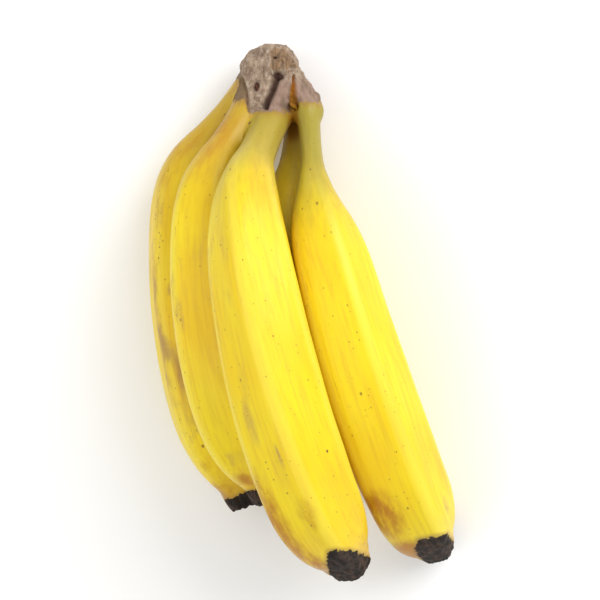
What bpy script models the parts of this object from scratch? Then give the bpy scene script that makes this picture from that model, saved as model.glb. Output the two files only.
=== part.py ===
"""A hand of bananas: five fingers grown from one crown, laid down with its rounded front on top.

The hand is set out in a frame of its own, in millimetres: X to the right, Y from the tips
towards the crown, Z out of the rounded front, with the origin where the middle finger leaves
the crown. The finished solid is then laid on a level surface, at Z = 0 of the world.
"""
from collections import namedtuple
from math import cos, pi, radians, sin

import bmesh
import bpy
import numpy as np
from mathutils import Matrix, Vector

MM = 0.001
HAND_NAME = "banana_hand"
SKIN_COLOUR = (0.87, 0.66, 0.10, 1.0)
SKIN_ROUGHNESS = 0.45

# A finger in millimetres and degrees. root: where its neck leaves the crown. fan: its chord's
# turn to the right of straight down the hand. dip: the chord's slope out of the front.
# face: the way its rounded back looks, 0 to the left and 90 straight out of the front.
# rise: how far its neck starts off the chord. neck_turn, body_turn and tip_turn: what the
# neck's bend, the body and the tip give to its curve. girth: its thickness as a share of the
# fullest finger. waist: how much of that thickness is left where its neck is slimmest. sway:
# how far its tip drifts out of its curve's plane. ridge_neck and ridge_tip: where the leading
# ridge runs, from the middle of the rounded back, at either end. blunt: 1 for a blunt tip.
Finger = namedtuple("Finger", "name root fan dip face rise neck_turn body_turn tip_turn "
                    "length girth waist sway ridge_neck ridge_tip blunt")
FINGERS = (
    Finger("left_low", (-9, 9.4, -12.9), 4.5, -5.7, -6, 45, 37, 22, 4, 185, 0.92, 0.96, -2, 20, 20, 0),
    Finger("left", (-7, 5, -5), 7.6, -4, 38, 44, 27, 36, 0, 175, 0.92, 1, 2, 10, 0, 0),
    Finger("middle", (0.9, -1.8, -3.4), 9, 4, 67, 53, 39, 50, 14, 221, 0.96, 1, 0.8, 10, -35, 1),
    Finger("right", (15.5, 0, -2), 15.5, -2, 76, 40, 26, 52, 14, 218, 0.92, 0.66, 1.2, 36, 36, 1),
    Finger("inner", (13, 3, -18), 3, -3, 74, 29, 20, 36, 4, 182, 0.91, 0.9, 0, 0, 0, 0),
)

# Places along a finger are given for a finger of this length and scale with it.
REFERENCE_LENGTH = 211
NECK_BEND = (24, 66)
BODY_BEND = (40, 190)
TIP_BEND = (155, 200)
# Mean radius of the fullest finger against the place along it.
GIRTH_PROFILE = ((0, 8.0), (14, 7.6), (27, 8.2), (38, 10.6), (52, 14.2), (70, 16.8), (95, 18.4),
                 (125, 19.4), (150, 19.6), (170, 18.6), (184, 16.0), (194, 12.4), (201, 9.2),
                 (206, 8.4), (211, 7.2))
# What a blunt tip adds to that radius.
BLUNT_TIP = ((0, 0), (155, 0), (170, 0.4), (184, 1.2), (194, 2.0), (201, 2.2), (206, 1.2), (211, 1.0))
# Where a neck slims down to its waist below the crown, and where it has its full girth again.
WAIST_START = (-4, 7)
WAIST_END = (22, 64)
STUB_DISH_DEPTH = 1.2
STUB_DISH_SHARE = 0.66

# The cross-section is a pentagon with round corners; the exponent is low where it is round.
FACE_COUNT = 5
ROUND_EXPONENT = 3
RIDGED_EXPONENT = 8
RIDGES_RISE = (35, 75)
RIDGES_FADE = (175, 200)
RIDGES_FADE_SHARE = 0.6

SIDES = 20
RING_STEPS = ((0, 40, 5), (40, 180, 7), (180, REFERENCE_LENGTH, 3.1))
CURVE_SAMPLES = 1200

# Inside the crown each neck runs back to a heart of its own, nearer the middle than its root.
HEART_HEIGHT = 16
HEART_SPREAD = 0.42
HEART_DEPTH = -5
HEART_REACH = 9
HEART_FLARE = -0.12
HEART_STEPS = (1.0, 0.7, 0.35)

# The crown's sections across the hand: height, middle (x, z), half width and half depth.
CROWN_SECTIONS = ((-1, 2.5, -12, 7, 9), (4, 2.5, -12, 12.5, 14.5), (10, 1.7, -12.5, 13.3, 16.5),
                  (16, 0.5, -12, 12.5, 15.5), (21, -0.2, -11, 11.7, 13.5), (25.5, 0.5, -10, 9.6, 11),
                  (28.5, 1.5, -9, 5.5, 7))
CROWN_SIDES = 28
CROWN_SQUARENESS = 2.5
# Knife cuts on the crown: a point on the cut and the way the cut face looks.
CROWN_CUTS = (((-6, 14, 0.5), (-0.28, 0.20, 0.94)), ((6, 22, -1.0), (0.42, 0.40, 0.81)))

# How the hand lies: turned about its width, then about its length, and set down so that its
# lowest spots are cut flat by the surface.
REST_PITCH = -5.95
REST_ROLL = 8.82
CROWN_FOOT_AT = (-11.33, 80.99, 29.35)
SURFACE_CUTTER_SIZE = 400


def smooth_step(start, end, place):
    """Rise from 0 at start to 1 at end with level ends."""
    share = np.clip((place - start) / (end - start), 0, 1)
    return share * share * (3 - 2 * share)


def smooth_curve(knots, place):
    """Read a curve that passes through the knots without overshooting between them."""
    x, y = (np.array(column, float) for column in zip(*knots))
    step = np.diff(x)
    slope = np.diff(y) / step
    tangent = np.concatenate(([slope[0]], np.zeros(len(x) - 2), [slope[-1]]))
    for i in range(1, len(x) - 1):
        if slope[i - 1] * slope[i] > 0:
            before = 2 * step[i] + step[i - 1]
            after = step[i] + 2 * step[i - 1]
            tangent[i] = (before + after) / (before / slope[i - 1] + after / slope[i])
    i = np.clip(np.searchsorted(x, place) - 1, 0, len(step) - 1)
    t = (place - x[i]) / step[i]
    return ((2 * t**3 - 3 * t**2 + 1) * y[i] + (t**3 - 2 * t**2 + t) * step[i] * tangent[i]
            + (3 * t**2 - 2 * t**3) * y[i + 1] + (t**3 - t**2) * step[i] * tangent[i + 1])


def curve_turn(finger, place):
    """Degrees that the centre line has turned from its start, at a reference place."""
    body_share = np.clip((place - BODY_BEND[0]) / (BODY_BEND[1] - BODY_BEND[0]), 0, 1)
    return (finger.neck_turn * smooth_step(*NECK_BEND, place) + finger.body_turn * body_share
            + finger.tip_turn * smooth_step(*TIP_BEND, place))


def chord_frame(finger):
    """The chord's direction, the way the rounded back looks, and the way across them."""
    fan, dip, face = radians(finger.fan), radians(finger.dip), radians(finger.face)
    chord = np.array((sin(fan) * cos(dip), -cos(fan) * cos(dip), sin(dip)))
    left = np.array((-cos(fan), -sin(fan), 0.0))
    front = np.cross(left, chord)
    back = cos(face) * left + sin(face) * front
    return chord, back, np.cross(chord, back)


def centre_line(finger, places):
    """Points of the centre line with its outward, sideways and forward directions."""
    scale = finger.length / REFERENCE_LENGTH
    chord, back, across = chord_frame(finger)
    fine = np.linspace(0, REFERENCE_LENGTH, CURVE_SAMPLES)
    heading = np.radians(finger.rise - curve_turn(finger, fine))
    step = (fine[1] - fine[0]) * scale
    middle = (heading[1:] + heading[:-1]) / 2
    along = np.concatenate(([0], np.cumsum(np.cos(middle)) * step))
    bulge = np.concatenate(([0], np.cumsum(np.sin(middle)) * step))
    turned = np.interp(places, fine, heading)[:, None]
    share = (places / REFERENCE_LENGTH)[:, None]
    points = (np.array(finger.root) + np.interp(places, fine, along)[:, None] * chord
              + np.interp(places, fine, bulge)[:, None] * back + finger.sway * share**2 * across)
    outward = np.cos(turned) * back - np.sin(turned) * chord
    forward = np.cos(turned) * chord + np.sin(turned) * back
    return points, outward, np.tile(across, (len(places), 1)), forward


def section_radii(finger, place, angles):
    """Radii of the five-sided section at one place, with a mean equal to the profile."""
    ridged = smooth_step(*RIDGES_RISE, place) * (1 - RIDGES_FADE_SHARE * smooth_step(*RIDGES_FADE, place))
    exponent = ROUND_EXPONENT + (RIDGED_EXPONENT - ROUND_EXPONENT) * ridged
    total = np.zeros_like(angles)
    for face in range(FACE_COUNT):
        middle = (face + 0.5) * 2 * pi / FACE_COUNT
        total += np.maximum(0, np.cos(angles - middle))**exponent
    shape = total**(-1 / exponent)
    slimming = smooth_step(*WAIST_START, place) * (1 - smooth_step(*WAIST_END, place))
    girth = finger.girth * (1 - (1 - finger.waist) * slimming)
    radius = smooth_curve(GIRTH_PROFILE, place) + finger.blunt * smooth_curve(BLUNT_TIP, place)
    return radius * girth * shape / shape.mean()


def loft(rings, name):
    """Join closed rings of points into one closed mesh object, with flat fans at its ends."""
    grid = bmesh.new()
    loops = [[grid.verts.new(Vector(point)) for point in ring] for ring in rings]
    for lower, upper in zip(loops, loops[1:]):
        for i in range(len(lower)):
            j = (i + 1) % len(lower)
            grid.faces.new((lower[i], lower[j], upper[j], upper[i]))
    for end in (loops[0], loops[-1]):
        centre = grid.verts.new(sum((v.co for v in end), Vector()) / len(end))
        for i in range(len(end)):
            grid.faces.new((end[i], end[(i + 1) % len(end)], centre))
    bmesh.ops.recalc_face_normals(grid, faces=grid.faces)
    bmesh.ops.triangulate(grid, faces=grid.faces)
    mesh = bpy.data.meshes.new(name)
    grid.to_mesh(mesh)
    grid.free()
    return bpy.data.objects.new(name, mesh)


def neck_root(finger, start, forward, first_ring):
    """Rings that lead the neck out of its heart in the crown to where the finger starts."""
    heart = np.array((HEART_SPREAD * finger.root[0], HEART_HEIGHT,
                      HEART_SPREAD * finger.root[2] + HEART_DEPTH))
    bend = start - HEART_REACH * forward
    rings = []
    for share in HEART_STEPS:
        middle = (1 - share)**2 * start + 2 * share * (1 - share) * bend + share**2 * heart
        rings.append(middle + (first_ring - start) * (1 + HEART_FLARE * share))
    return rings


def make_finger(finger):
    """One finger, from inside the crown to its dished black end."""
    places = np.concatenate([np.arange(*stretch) for stretch in RING_STEPS] + [[REFERENCE_LENGTH]])
    points, outward, across, forward = centre_line(finger, places)
    angles = np.linspace(0, 2 * pi, SIDES, endpoint=False)
    rings = []
    for i, place in enumerate(places):
        share = place / REFERENCE_LENGTH
        turned = angles + radians(finger.ridge_neck + (finger.ridge_tip - finger.ridge_neck) * share)
        spokes = np.outer(np.cos(turned), outward[i]) + np.outer(np.sin(turned), across[i])
        rings.append(points[i] + section_radii(finger, place, angles)[:, None] * spokes)
    buried = neck_root(finger, points[0], forward[0], rings[0])
    dished = points[-1] + (rings[-1] - points[-1]) * STUB_DISH_SHARE - STUB_DISH_DEPTH * forward[-1]
    return loft(buried + rings + [dished], finger.name)


def make_crown():
    """The corky crown: stacked oval sections, with its knife cuts."""
    angles = np.linspace(0, 2 * pi, CROWN_SIDES, endpoint=False)
    width_way = np.sign(np.cos(angles)) * np.abs(np.cos(angles))**(2 / CROWN_SQUARENESS)
    depth_way = np.sign(np.sin(angles)) * np.abs(np.sin(angles))**(2 / CROWN_SQUARENESS)
    rings = []
    for height, middle_x, middle_z, half_width, half_depth in CROWN_SECTIONS:
        rings.append(np.column_stack((middle_x + half_width * width_way, np.full(CROWN_SIDES, height),
                                      middle_z + half_depth * depth_way)))
    crown = loft(rings, HAND_NAME)
    shape = bmesh.new()
    shape.from_mesh(crown.data)
    for point, way in CROWN_CUTS:
        everything = shape.verts[:] + shape.edges[:] + shape.faces[:]
        cut = bmesh.ops.bisect_plane(shape, geom=everything, plane_co=point, plane_no=way, clear_outer=True)
        rim = [item for item in cut["geom_cut"] if isinstance(item, bmesh.types.BMEdge)]
        bmesh.ops.holes_fill(shape, edges=rim)
    bmesh.ops.recalc_face_normals(shape, faces=shape.faces)
    bmesh.ops.triangulate(shape, faces=shape.faces)
    shape.to_mesh(crown.data)
    shape.free()
    return crown


def fuse(base, others):
    """Join the objects of a collection to the base in one closed skin."""
    union = base.modifiers.new("grown together", 'BOOLEAN')
    union.operation = 'UNION'
    union.operand_type = 'COLLECTION'
    union.collection = others
    union.solver = 'EXACT'
    bpy.context.view_layer.update()
    depsgraph = bpy.context.evaluated_depsgraph_get()
    fused = bpy.data.meshes.new_from_object(base.evaluated_get(depsgraph))
    base.modifiers.remove(union)
    base.data = fused
    for piece in list(others.objects):
        bpy.data.objects.remove(piece)
    bpy.data.collections.remove(others)


def lay_down(hand):
    """Turn the hand to the way it lies, in metres."""
    turn = Matrix.Rotation(radians(REST_ROLL), 4, 'Y') @ Matrix.Rotation(radians(REST_PITCH), 4, 'X')
    place = Matrix.Translation(Vector(CROWN_FOOT_AT) * MM)
    hand.data.transform(place @ turn @ Matrix.Scale(MM, 4))


def flatten_rest_spots(hand, cutters):
    """Cut off what would sink into the surface, so that the hand rests on small flat spots."""
    size = SURFACE_CUTTER_SIZE * MM
    bpy.ops.mesh.primitive_cube_add(size=size, location=(0, 0, -size / 2))
    surface = bpy.context.object
    surface.name = "surface_cutter"
    surface.hide_render = True
    surface.display_type = 'WIRE'
    for owner in list(surface.users_collection):
        owner.objects.unlink(surface)
    cutters.objects.link(surface)
    flats = hand.modifiers.new("rest spots", 'BOOLEAN')
    flats.operation = 'DIFFERENCE'
    flats.object = surface
    flats.solver = 'EXACT'


def make_skin():
    """Ripe banana skin."""
    skin = bpy.data.materials.new("banana_skin")
    skin.use_nodes = True
    shader = skin.node_tree.nodes["Principled BSDF"]
    shader.inputs["Base Color"].default_value = SKIN_COLOUR
    shader.inputs["Roughness"].default_value = SKIN_ROUGHNESS
    shader.inputs["Metallic"].default_value = 0.0
    return skin


def new_collection(name):
    collection = bpy.data.collections.new(name)
    bpy.context.scene.collection.children.link(collection)
    return collection


def main():
    for thing in list(bpy.data.objects):
        bpy.data.objects.remove(thing)
    bananas = new_collection("bananas")
    cutters = new_collection("cutters")
    fingers = new_collection("fingers")
    for finger in FINGERS:
        fingers.objects.link(make_finger(finger))
    hand = make_crown()
    bananas.objects.link(hand)
    fuse(hand, fingers)
    lay_down(hand)
    hand.data.materials.clear()
    hand.data.materials.append(make_skin())
    hand.data.shade_smooth()
    flatten_rest_spots(hand, cutters)


main()
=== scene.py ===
"""A ripe hand of bananas: one fused skin with its crown and dry stubs, on a pale floor.

The skin is worked out in the hand's own frame, in millimetres: X to the right, Y from the tips
towards the crown, Z out of the rounded front. It is then laid down in the place of the plain
solid.
"""

from collections import namedtuple
from math import cos, pi, radians, sin

import bmesh
import bpy
import numpy as np
from bpy.props import FloatProperty, FloatVectorProperty, PointerProperty
from mathutils import Matrix, Vector


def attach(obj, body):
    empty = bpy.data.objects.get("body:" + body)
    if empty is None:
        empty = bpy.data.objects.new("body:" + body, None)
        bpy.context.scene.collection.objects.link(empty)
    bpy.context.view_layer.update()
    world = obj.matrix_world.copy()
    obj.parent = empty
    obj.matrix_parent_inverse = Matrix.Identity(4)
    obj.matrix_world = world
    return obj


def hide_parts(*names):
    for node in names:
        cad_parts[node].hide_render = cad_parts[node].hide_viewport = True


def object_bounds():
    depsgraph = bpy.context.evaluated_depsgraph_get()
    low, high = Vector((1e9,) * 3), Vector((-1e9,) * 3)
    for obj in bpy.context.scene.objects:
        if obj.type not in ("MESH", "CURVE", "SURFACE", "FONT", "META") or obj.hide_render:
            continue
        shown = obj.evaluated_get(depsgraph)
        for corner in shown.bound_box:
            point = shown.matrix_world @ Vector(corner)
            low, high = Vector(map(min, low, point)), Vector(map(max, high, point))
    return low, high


bl_info = {
    "name": "Ripe Bananas",
    "version": (1, 0, 0),
    "blender": (4, 5, 0),
    "location": "View3D > Sidebar > Bananas",
    "description": "A ripe hand of bananas on a pale floor",
    "category": "Add Mesh",
}

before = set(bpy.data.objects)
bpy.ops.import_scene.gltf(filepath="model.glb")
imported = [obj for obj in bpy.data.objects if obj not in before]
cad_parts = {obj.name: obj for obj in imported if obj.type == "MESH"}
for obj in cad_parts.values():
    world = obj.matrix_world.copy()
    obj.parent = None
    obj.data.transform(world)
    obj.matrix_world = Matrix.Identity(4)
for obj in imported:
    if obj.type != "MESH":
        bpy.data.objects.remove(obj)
SOLID_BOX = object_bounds()

MM = 0.001

# Fingers, in millimetres and degrees, as in the solid: the root in the crown, the fan and the dip
# of the chord, the way the rounded back faces, the rise at the start, the turns in the neck, the
# body and the tip, the length, the shares of girth and of the waist's girth, the tip's sideways
# sway, the ridges' twist at the neck and at the tip, and the share of a blunt tip.
Finger = namedtuple("Finger", "name root fan dip face rise neck_turn body_turn tip_turn "
                    "length girth waist sway ridge_neck ridge_tip blunt")
FINGERS = (
    Finger("left_low", (-9, 9.4, -12.9), 4.5, -5.7, -6, 45, 37, 22, 4, 185, 0.92, 0.96, -2, 20, 20, 0),
    Finger("left", (-7, 5, -5), 7.6, -4, 38, 44, 27, 36, 0, 175, 0.92, 1, 2, 10, 0, 0),
    Finger("middle", (0.9, -1.8, -3.4), 9, 4, 67, 53, 39, 50, 14, 221, 0.96, 1, 0.8, 10, -35, 1),
    Finger("right", (15.5, 0, -2), 15.5, -2, 76, 40, 26, 52, 14, 218, 0.92, 0.66, 1.2, 36, 36, 1),
    Finger("inner", (13, 3, -18), 3, -3, 74, 29, 20, 36, 4, 182, 0.91, 0.9, 0, 0, 0, 0),
)
# Places along a finger are given on one of this length and scaled with it.
REFERENCE_LENGTH = 211
NECK_BEND = (24, 66)
BODY_BEND = (40, 190)
TIP_BEND = (155, 200)
GIRTH_PROFILE = ((0, 8.0), (14, 7.6), (27, 8.2), (38, 10.6), (52, 14.2), (70, 16.8), (95, 18.4),
                 (125, 19.4), (150, 19.6), (170, 18.6), (184, 16.0), (194, 12.4), (201, 9.2),
                 (206, 8.4), (211, 7.2))
BLUNT_TIP = ((0, 0), (155, 0), (170, 0.4), (184, 1.2), (194, 2.0), (201, 2.2), (206, 1.2),
             (211, 1.0))
WAIST_START = (-4, 7)
WAIST_END = (22, 64)
STUB_DISH_DEPTH = 1.2
STUB_DISH_RING = (0.66, 0.95)
STUB_RIM = 0.5
FACE_COUNT = 5
ROUND_EXPONENT = 3
RIDGED_EXPONENT = 8
RIDGES_RISE = (35, 75)
RIDGES_FADE = (175, 200)
RIDGES_FADE_SHARE = 0.6
CURVE_SAMPLES = 1200
SHAPE_SAMPLES = 40
TURN_SAMPLES = 200
HEART_HEIGHT = 16
HEART_SPREAD = 0.42
HEART_DEPTH = -5
HEART_REACH = 9
HEART_FLARE = -0.12
HEART_STEPS = 60
HEART_LEAST_STEP = 0.02
# The crown's sections: level up the hand, middle across, middle in depth, half width, half depth.
CROWN_SECTIONS = ((-1, 2.5, -12, 7, 9), (4, 2.5, -12, 12.5, 14.5), (10, 1.7, -12.5, 13.3, 16.5),
                  (16, 0.5, -12, 12.5, 15.5), (21, -0.2, -11, 11.7, 13.5), (25.5, 0.5, -10, 9.6, 11),
                  (28.5, 1.5, -9, 5.5, 7))
CROWN_SQUARENESS = 2.5
# The knife cuts: a point on each and the way out of it.
CROWN_CUTS = (((-6, 14, 0.5), (-0.28, 0.20, 0.94)), ((6, 22, -1.0), (0.42, 0.40, 0.81)))
CROWN_EDGE = 0.7
LEAST_SHARE = 0.05
# How the hand lies: its turns, and where the crown's foot is.
REST_PITCH = -5.95
REST_ROLL = 8.82
CROWN_FOOT_AT = (-11.33, 80.99, 29.35)

# How the skin is drawn together: the width of the fillet between the necks at the crown and
# between the bodies, where along the hand one goes over into the other, and how spots move onto
# the filleted skin.
FILLET_AT_CROWN = 1.2
FILLET_AT_BODIES = 0.15
FILLET_SPAN = (-34, -2)
SETTLE_ROUNDS = 5
SETTLE_NUDGE = 0.05
SETTLE_STRIDE = 3
LEAST_SLOPE = 0.25

# How a spot's place along a finger is found: the guide's steps, the spots that are read at once,
# and how far the place may move in each round.
GUIDE_STEP = 0.5
COARSE_STEP = 6
SPOTS_AT_ONCE = 20000
SEEK_ROUNDS = 4
SEEK_STRIDE = 6
LEAST_PACE = 0.3
FAR_AWAY = 45

# How closely the rings of a finger stand, as shares of the mesh step: up to a place, a share.
RING_GAPS = ((34, 0.6), (192, 1.0), (REFERENCE_LENGTH, 0.42))
STUB_FACE_RINGS = (0.97, 0.93, 0.88, 0.82, 0.75, 0.67, 0.58, 0.48, 0.37, 0.25, 0.12)
FULL_RADIUS = 19
# The crown's rings: their gap as a share of the mesh step, the radius that sets their corners,
# and the shares of the rings that close the lower and the upper end.
CROWN_GAP = 0.5
CROWN_RADIUS = 14
CROWN_LOW_RINGS = (0.15, 1, 0.12)
CROWN_HIGH_RINGS = (0.9, 0.1, -0.12)
WELD_GAP = 0.03
# Faces are halved up to so many millimetres past the cork, and from so many before the stub. From
# so many before the stub the skin is also drawn onto its smooth shape.
FINE_PAST_CORK = 2
FINE_STUB = -1.5
DRAWN_STUB = -2

# How far up the hand the brown of the crown ends on each finger, in millimetres.
CORK_EDGE = {"left_low": 15, "left": 5.2, "middle": 0.6, "right": 4.4, "inner": -1}
# The crown's left lobe runs further down over the left finger: from one place across the hand to
# another, and by how much.
LOBE_FINGER = "left"
LOBE_EDGE = (-10.0, -8.4)
LOBE_RUN = 5.6
# Each finger's own share of green neck, of bruising and of freckles.
TEMPER = {"left_low": (0.25, 1.0, 0.8), "left": (0.3, 0.85, 0.7), "middle": (0.8, 0.45, 1.0),
          "right": (1.0, 0.2, 0.7), "inner": (0.6, 0.6, 0.5)}
# Where the black of a stub starts along each finger.
STUB_START = {"left_low": 203.5, "left": 200.5, "middle": 201, "right": 201, "inner": 201}
# On the blunt tips it runs up the front instead, to an outline seen from the front.
BLACK_OUTLINES = {
    "middle": ((39.5, -180.1), (32.5, -175.9), (26.0, -175.3), (23.4, -176.0), (22.7, -181.6),
               (24.4, -187.3)),
    "right": ((75.0, -175.0), (72.5, -171.6), (63.0, -172.7), (59.9, -173.5), (59.2, -178.5),
              (60.0, -180.9), (63.4, -184.7)),
}
# The outline counts from this place on, and on skin that faces the front.
BLACK_START = 178
BLACK_FACING = (-0.4, 0.1)
# Soft marks on the peel: finger, place along it, degrees round it, half length, half width, share.
# Amber marks are partly amber patches of the peel and partly painted shade: by the right finger's tip
# where the middle finger shades it, along the middle finger's lower left side, and over the inner
# finger's neck.
AMBER_AND_SHADE_MARKS = (
    ("right", 188, 342, 10, 9, 1.5), ("right", 165, 350, 13, 9, 1.0),
    ("middle", 191, 46, 10, 5, 1.2), ("middle", 174, 64, 30, 7, 0.9), ("middle", 166, 12, 8, 5, 0.65),
    ("left", 193, 333, 4.5, 4, 0.9), ("left", 30, 330, 22, 8, 0.6),
    ("left_low", 184.5, 279, 3, 3, 0.7), ("left_low", 199, 290, 6, 8, 0.6),
    ("left_low", 42, 300, 22, 9, 0.55), ("inner", 20, 0, 45, 14, 0.35), ("inner", 20, 90, 45, 14, 0.35),
)
BROWN_MARKS = (
    ("left_low", 111, 258, 5, 3.5, 0.9), ("left_low", 101, 268, 3.5, 4, 0.6),
    ("left_low", 139, 270, 13, 3, 0.75), ("left_low", 66, 288, 9, 3, 0.6),
    ("middle", 131, 45, 11, 3, 0.6), ("middle", 144, 18, 7, 1, 0.8), ("middle", 198, 62, 7, 4, 0.9),
    ("right", 176, 252, 6, 2.5, 0.6), ("right", 194, 8, 9, 4, 1.0),
)
MARK_EDGE = (0.3, 1.5)
# Pits in the front of the crown: place, radius across, radius along and depth. They are painted dark as
# painted shade; the second one is the painted shadow under the overhanging cut face.
CROWN_PITS = (((-5.6, 10.9), 1.6, 2.5, 1.3), ((3.7, 15.4), 3.6, 2.3, 2.4),
              ((2.4, 22.9), 1.4, 0.7, 0.9))
PIT_EDGE = (0.35, 1.15)
# Folds between the lobes of the crown: path, half width at both ends, depth, and how far back they
# reach. They are painted dark as painted shade in the creases and in the gap between the two front
# necks.
CROWN_FOLDS = (
    (((2.5, 13.4), (0.0, 6.5), (-2.8, 0.4)), (3.0, 2.4), 2.0, -16),
    (((10.2, 15.5), (9.7, 3.0), (9.0, -14.0)), (0.7, 5.0), 2.4, -25),
    (((-11.6, 14.0), (-9.8, 8.0), (-8.6, 2.0)), (1.5, 1.7), 0.9, -16),
    (((0.8, 16.4), (5.8, 16.8), (11.2, 17.6)), (0.7, 0.8), 0.7, -16),
)
FOLD_EDGE = (0.1, 1.1)
FOLD_REACH_BLUR = 2.5
FOLD_FADE = (0.8, 1)
FOLD_FADE_SHARE = 0.8
FOLD_FOOT = (0, 3)
# How strongly each millimetre of a fold's depth is painted dark as painted shade, and the share of that
# painted shade that the folds keep.
FOLD_DARKNESS = 0.45
FOLD_SHADE = 0.85
# Outline of the freshest cut face, seen from the front.
CUT_OUTLINE = ((-0.4, 25.7), (0.6, 17.2), (11.0, 18.2), (11.4, 19.8), (8.6, 24.8), (6.1, 26.9),
               (2.0, 27.2))
CUT_EDGE = (-0.4, 0.7)
CUT_WOBBLE_REACH = 0.7
# The crown's front: from one depth to another.
CROWN_FRONT = (-19, -14)

# Seeded unevenness of the skin: how the position is stretched, the size of its features in
# millimetres, the seed and the octaves.
Grain = namedtuple("Grain", "stretch size seed octaves")
DENTS = Grain((0.45, 1, 1), 26, 5, 2)
NECK_RIBS = Grain((0.06, 1, 1), 3.4, 8, 2)
LUMPS = Grain((1, 1, 1), 8, 11, 3)
SMALL_LUMPS = Grain((1, 0.5, 1), 2.6, 12, 3)
CRACKS = Grain((1, 0.55, 1), 6, 14, 2)
FIBRES = Grain((1, 0.3, 0.6), 1.6, 21, 2)
STUB_WRINKLES = Grain((0.3, 1, 1), 3, 17, 2)
CUT_WOBBLE = Grain((1, 1, 1), 4.5, 31, 3)
WAVE_COUNT = 9
UNEVENNESS_LIMIT = 1.3
CRACK_SHARPNESS = 6
# Shares of the lumps' height: of the small lumps, of the level that they stand on, of the cracks,
# of the fibres and of the whole cut, and how much flatter the lumps are there.
SMALL_LUMP_SHARE = 0.4
LUMP_LEVEL = 0.4
CRACK_SHARE = 0.9
FIBRE_SHARE = 0.5
CUT_LEVEL = 0.9
CUT_FLATNESS = 0.5
WRINKLE_LEVEL = 0.3
# Where each unevenness starts and ends: millimetres past the cork, places along the finger, and
# millimetres past the start of the stub.
DENTS_START = (2, 14)
DENTS_END = (-3, 0)
RIBS_START = (0, 4)
RIBS_END = (40, 70)
LUMPS_END = (-1.5, 1.0)
WRINKLES_START = (-0.5, 0.8)
# How the crown's own skin takes over from a finger's, in millimetres of height.
CROWN_OWN = (-1.2, 1.2)
CROWN_PAST_CORK = 5
# Keeps the fingers' patterns apart.
FLOW_GAP = 400
# Bruises and scuffs are stronger on peel that faces the hand's left: from one cosine of the angle to
# that way to another.
LEFT_FACING_SPAN = (0.1, 0.9)
CREASE_ANGLE = 55

# Patterns of the finish: their size three ways in millimetres, where on the noise they start and
# where they are full, their least and most share, and the noise's detail, roughness and warp.
Pattern = namedtuple("Pattern", "sizes start full least most detail rough warp",
                     defaults=(0.0, 1.0, 3.0, 0.55, 0.0))
PATCHES = Pattern((60, 28, 28), 0.35, 0.68)
STREAKS = Pattern((26, 1.6, 1.6), 0.4, 0.75, 0, 0.35, detail=4)
BRUISES = Pattern((34, 13, 13), 0.52, 0.72, 0, 0.85, 5, 0.62)
SCUFFS = Pattern((16, 0.9, 0.9), 0.60, 0.70, 0, 0.8, 4, 0.7)
FRECKLE_CROWDS = Pattern((22, 10, 10), 0.35, 0.65, 0.1875, 0.75)
MOTTLE = Pattern((5, 8, 5), 0.35, 0.68, detail=5, rough=0.65)
CRUST = Pattern((1.1, 1.9, 1.1), 0.5, 0.72, 0, 0.75, 5, 0.7)
CRUST_GAPS = CRUST._replace(start=0.44, full=0.3, most=0.8)
MAUVE_GRAIN = Pattern((2.5, 12, 2.5), 0.35, 0.7, detail=4)
CUT_FIBRES = Pattern((0.8, 3.5, 2.0), 0.38, 0.66, detail=4, rough=0.7, warp=0.6)
PIT_RED = Pattern((1.5, 2.2, 1.5), 0.4, 0.62)
STUB_WEAR = Pattern((5, 3, 3), 0.42, 0.68, 0, 0.9, 6, 0.65)
SATIN = Pattern((18, 6, 6), 0.3, 0.7, 0.34, 0.5, 4)
DRY_ROUGHNESS = 0.85

# Ragged edges: the noise's size three ways, its middle, how far it moves the edge in millimetres,
# and its detail and roughness.
Ragged = namedtuple("Ragged", "sizes middle reach detail rough", defaults=(3.0, 0.55))
NECK_RAGGED = Ragged((24, 7, 7), 0, 34)
TIP_RAGGED = Ragged((9, 4, 4), 0, 16)
MARK_RAGGED = Ragged((8, 3.2, 3.2), 0, 2.2, 5, 0.65)
CORK_RAGGED = Ragged((2.4, 3.2, 2.4), 0.5, 7, 5, 0.7)
STUB_RAGGED = Ragged((2.4, 2.4, 2.4), 0.5, 4.5, 4)
MAUVE_RAGGED = Ragged((4, 4, 4), 0, 4)

# Freckles: the cells' size three ways, the largest radius and the share of cells that hold one.
SMALL_FRECKLES = ((2.6, 2.3, 2.3), 0.18, 0.5)
LARGE_FRECKLES = ((8.5, 7, 7), 0.085, 0.6)
FRECKLE_LEAST = 0.35
FRECKLE_EDGE = (1.0, 0.55)
FRECKLE_STRENGTH = 0.95

# Fine relief: the noise's size three ways, its detail and roughness, and its height in millimetres.
Relief = namedtuple("Relief", "sizes detail rough height")
PEEL_LINES = Relief((7, 0.7, 0.7), 4, 0.55, 0.10)
PEEL_PORES = Relief((0.9, 0.6, 0.6), 2, 0.55, 0.05)
DRY_CRUST = Relief((1.1, 1.9, 1.1), 6, 0.75, 0.9)
BUMP_STRENGTH = 0.6

# Where a finish starts and where it is full on a trait of the skin, and its least and most share
# where they aren't 0 and 1.
GREEN_NECK = (92, 30, 0, 0.9)
# The paler ridges are a painted highlight along them.
PALE_RIDGE = (0.55, 0.98)
PALE_FROM = (30, 60, 0, 0.35)
RUBBED_RIDGE = (-0.2, 0.95, 0.25, 1)
RUBBED_LEAST = 0.3
LEFT_FACING_LEAST = 0.25
DULL_TIP = (190, 212, 0, 0.5)
MARK_SHARE = (0.15, 1.25, 0, 0.95)
MARK_LEVEL = -0.1
CORK_SKIN = (0.9, -0.7)
CORK_RIM = (4.0, 0.2, 0, 0.6)
STUB_SKIN = (-0.3, 0.4)
STUB_RIM_TINT = (-2.2, 0.2, 0, 0.6)
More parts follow.
